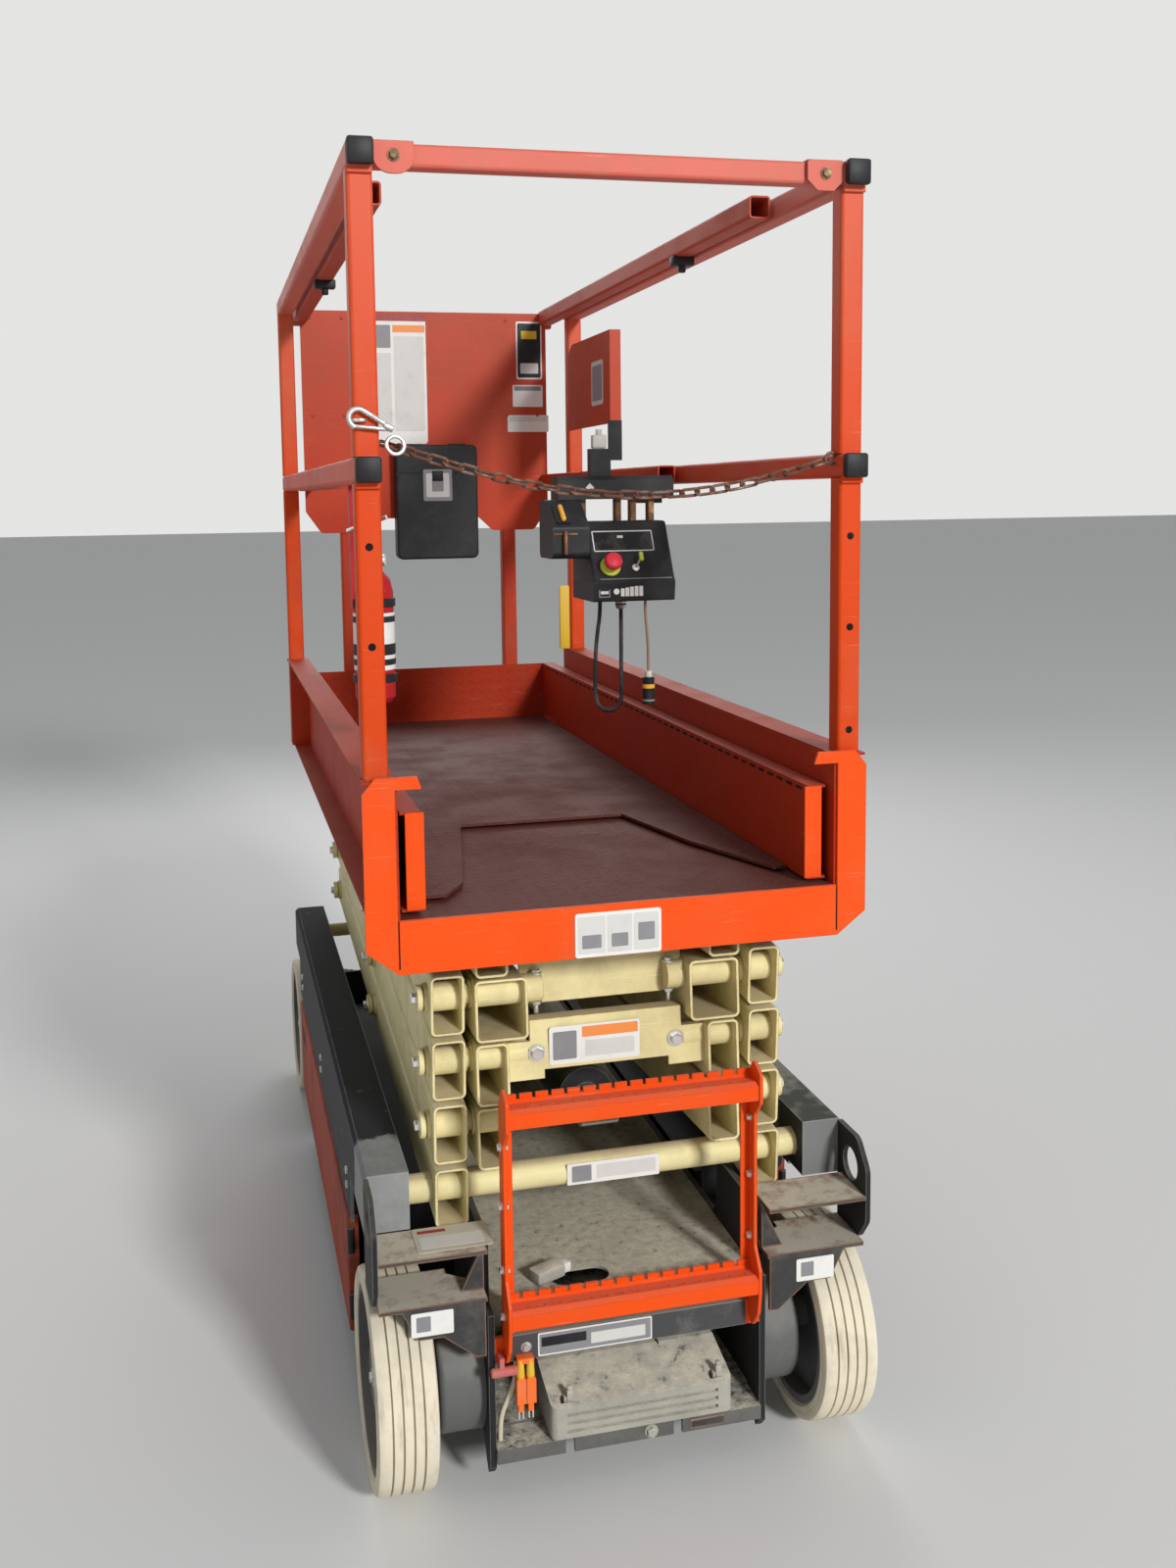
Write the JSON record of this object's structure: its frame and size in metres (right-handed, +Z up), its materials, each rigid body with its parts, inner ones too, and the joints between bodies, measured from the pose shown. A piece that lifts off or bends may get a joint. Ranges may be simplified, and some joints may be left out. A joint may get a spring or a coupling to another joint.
{
  "type": "scissor lift",
  "caption": "Compact electric slab scissor lift, stowed, with folding arm stack, railed platform, sliding deck extension, ladder and steered wheels.",
  "frame": {"origin": "on the ground, under the middle of the machine's bounding box", "axes": "+Z up, +X to the right seen from the ladder end, +Y towards the steered end"},
  "size_m": [0.78, 1.87, 1.972],
  "materials": {
    "orange_paint": "gloss, scratched",
    "cream_paint": "satin, dusty",
    "grey_frame": "worn, dented",
    "black_frame": "matte, dusty",
    "dusty_steel": "rough, dusty",
    "dusty_case": "dusty",
    "orange_plastic": "satin",
    "red_plastic": "satin",
    "pale_sheath": "matte",
    "black_plastic": "satin",
    "black_sheath": "matte",
    "bare_steel": "dull",
    "chrome_rod": "polished",
    "worn_deck": "worn",
    "rusty_steel": "rusty",
    "red_paint": "gloss",
    "pale_tyre": "matte, worn",
    "grey_rim": "satin"
  },
  "bodies": {
    "chassis": {"side_beams": "grey_frame", "tie_down_plates": "black_frame", "pocket_shelves": "black_frame", "frame_plates": "black_frame", "floor_pan": "dusty_steel", "centre_cover": "dusty_steel", "beam_hangers": "black_frame", "ladder": "orange_paint", "charger_box": "dusty_case", "charge_plugs": "orange_plastic", "lowering_handle": "red_plastic", "charger_lead": "pale_sheath", "drive_motors": "black_frame", "steer_axle": "black_frame", "power_packs": "black_plastic"},
    "tray_door_left": {"tray_door_left": "orange_paint"},
    "drive_wheel_left": {"drive_tyre_left": "pale_tyre", "drive_rim_left": "grey_rim"},
    "steer_knuckle_left": {"steer_knuckle_left": "bare_steel"},
    "steer_wheel_left": {"steer_tyre_left": "pale_tyre", "steer_rim_left": "grey_rim"},
    "tray_door_right": {"tray_door_right": "orange_paint"},
    "drive_wheel_right": {"drive_tyre_right": "pale_tyre", "drive_rim_right": "grey_rim"},
    "steer_knuckle_right": {"steer_knuckle_right": "bare_steel"},
    "steer_wheel_right": {"steer_tyre_right": "pale_tyre", "steer_rim_right": "grey_rim"},
    "tie_rod": {"tie_rod": "bare_steel"},
    "outer_arms_1": {"outer_arm_1": "cream_paint"},
    "inner_arms_1": {"inner_arm_1": "cream_paint"},
    "outer_arms_2": {"outer_arm_2": "cream_paint"},
    "inner_arms_2": {"inner_arm_2": "cream_paint"},
    "outer_arms_3": {"outer_arm_3": "cream_paint"},
    "inner_arms_3": {"inner_arm_3": "cream_paint"},
    "outer_arms_4": {"outer_arm_4": "cream_paint"},
    "inner_arms_4": {"inner_arm_4": "cream_paint"},
    "lift_barrel": {"lift_barrel": "black_frame"},
    "lift_rod": {"lift_rod": "chrome_rod"},
    "platform": {"platform_deck": "worn_deck", "end_plates": "orange_paint", "side_channels": "orange_paint", "rail_posts": "orange_paint", "post_sockets": "orange_paint", "side_rails": "orange_paint", "entry_bar": "orange_paint", "entry_chain": "rusty_steel", "fire_extinguisher": "red_paint", "side_panel": "orange_paint"},
    "extension": {"extension_deck": "worn_deck", "extension_toe_boards": "orange_paint", "extension_rails": "orange_paint", "extension_posts": "orange_paint", "end_panel": "orange_paint", "control_console": "black_plastic", "document_box": "black_plastic", "control_cable": "black_sheath", "sensor_cable": "black_sheath"}
  },
  "joints": [
    {"name": "lift", "type": "hinge", "parent": "chassis", "child": "outer_arms_1", "pos_m": [0, -0.755, 0.445], "axis": [1, 0, 0], "range_deg": [0, 66]},
    {"name": "cross_1", "type": "hinge", "parent": "outer_arms_1", "child": "inner_arms_1", "pos_m": [0, -0.06681, 0.495], "axis": [1, 0, 0], "range_deg": [-132, 0]},
    {"name": "near_pin_1", "type": "hinge", "parent": "inner_arms_1", "child": "outer_arms_2", "pos_m": [0, -0.755, 0.545], "axis": [1, 0, 0], "range_deg": [0, 132]},
    {"name": "cross_2", "type": "hinge", "parent": "outer_arms_2", "child": "inner_arms_2", "pos_m": [0, -0.06681, 0.595], "axis": [1, 0, 0], "range_deg": [-132, 0]},
    {"name": "near_pin_2", "type": "hinge", "parent": "inner_arms_2", "child": "outer_arms_3", "pos_m": [0, -0.755, 0.645], "axis": [1, 0, 0], "range_deg": [0, 132]},
    {"name": "cross_3", "type": "hinge", "parent": "outer_arms_3", "child": "inner_arms_3", "pos_m": [0, -0.06681, 0.695], "axis": [1, 0, 0], "range_deg": [-132, 0]},
    {"name": "near_pin_3", "type": "hinge", "parent": "inner_arms_3", "child": "outer_arms_4", "pos_m": [0, -0.755, 0.745], "axis": [1, 0, 0], "range_deg": [0, 132]},
    {"name": "cross_4", "type": "hinge", "parent": "outer_arms_4", "child": "inner_arms_4", "pos_m": [0, -0.06681, 0.795], "axis": [1, 0, 0], "range_deg": [-132, 0]},
    {"name": "platform_pin", "type": "hinge", "parent": "inner_arms_4", "child": "platform", "pos_m": [0, -0.755, 0.845], "axis": [1, 0, 0], "range_deg": [0, 66]},
    {"name": "barrel_pivot", "type": "hinge", "parent": "chassis", "child": "lift_barrel", "pos_m": [0, 0.5, 0.362], "axis": [1, 0, 0], "range_deg": [-39.15, 0]},
    {"name": "rod_slide", "type": "slide", "parent": "lift_barrel", "child": "lift_rod", "axis": [0, -0.9914, 0.1308], "range_m": [0, 0.61103]},
    {"name": "drive_left", "type": "hinge", "parent": "chassis", "child": "drive_wheel_left", "pos_m": [-0.343, -0.7735, 0.1615], "axis": [1, 0, 0], "continuous": true},
    {"name": "roll_left", "type": "hinge", "parent": "steer_knuckle_left", "child": "steer_wheel_left", "pos_m": [-0.343, 0.7735, 0.1615], "axis": [1, 0, 0], "continuous": true},
    {"name": "drive_right", "type": "hinge", "parent": "chassis", "child": "drive_wheel_right", "pos_m": [0.343, -0.7735, 0.1615], "axis": [1, 0, 0], "continuous": true},
    {"name": "roll_right", "type": "hinge", "parent": "steer_knuckle_right", "child": "steer_wheel_right", "pos_m": [0.343, 0.7735, 0.1615], "axis": [1, 0, 0], "continuous": true},
    {"name": "steer", "type": "hinge", "parent": "chassis", "child": "steer_knuckle_left", "pos_m": [-0.262, 0.7735, 0.1615], "axis": [0, 0, 1], "range_deg": [-70, 70]},
    {"name": "steer_right", "type": "hinge", "parent": "chassis", "child": "steer_knuckle_right", "pos_m": [0.262, 0.7735, 0.1615], "axis": [0, 0, 1], "range_deg": [-70, 70]},
    {"name": "tie_rod_pivot", "type": "hinge", "parent": "steer_knuckle_left", "child": "tie_rod", "pos_m": [-0.262, 0.6955, 0.11], "axis": [0, 0, 1], "range_deg": [-70, 70]},
    {"name": "tray_left", "type": "hinge", "parent": "chassis", "child": "tray_door_left", "pos_m": [-0.388, -0.56, 0.214], "axis": [0, 0, 1], "range_deg": [0, 100]},
    {"name": "tray_right", "type": "hinge", "parent": "chassis", "child": "tray_door_right", "pos_m": [0.388, -0.56, 0.214], "axis": [0, 0, 1], "range_deg": [-100, 0]},
    {"name": "deck_slide", "type": "slide", "parent": "platform", "child": "extension", "axis": [0, 1, 0], "range_m": [0, 0.9]}
  ],
  "couplings": [
    {"joint": "cross_1", "follows": "lift", "ratio": -2},
    {"joint": "near_pin_1", "follows": "lift", "ratio": 2},
    {"joint": "cross_2", "follows": "lift", "ratio": -2},
    {"joint": "near_pin_2", "follows": "lift", "ratio": 2},
    {"joint": "cross_3", "follows": "lift", "ratio": -2},
    {"joint": "near_pin_3", "follows": "lift", "ratio": 2},
    {"joint": "cross_4", "follows": "lift", "ratio": -2},
    {"joint": "platform_pin", "follows": "lift", "ratio": 1},
    {"joint": "barrel_pivot", "follows": "lift", "ratio": -0.59257},
    {"joint": "rod_slide", "follows": "lift", "m_per_rad": 0.52991},
    {"joint": "steer_right", "follows": "steer", "ratio": 1},
    {"joint": "tie_rod_pivot", "follows": "steer", "ratio": -1}
  ]
}
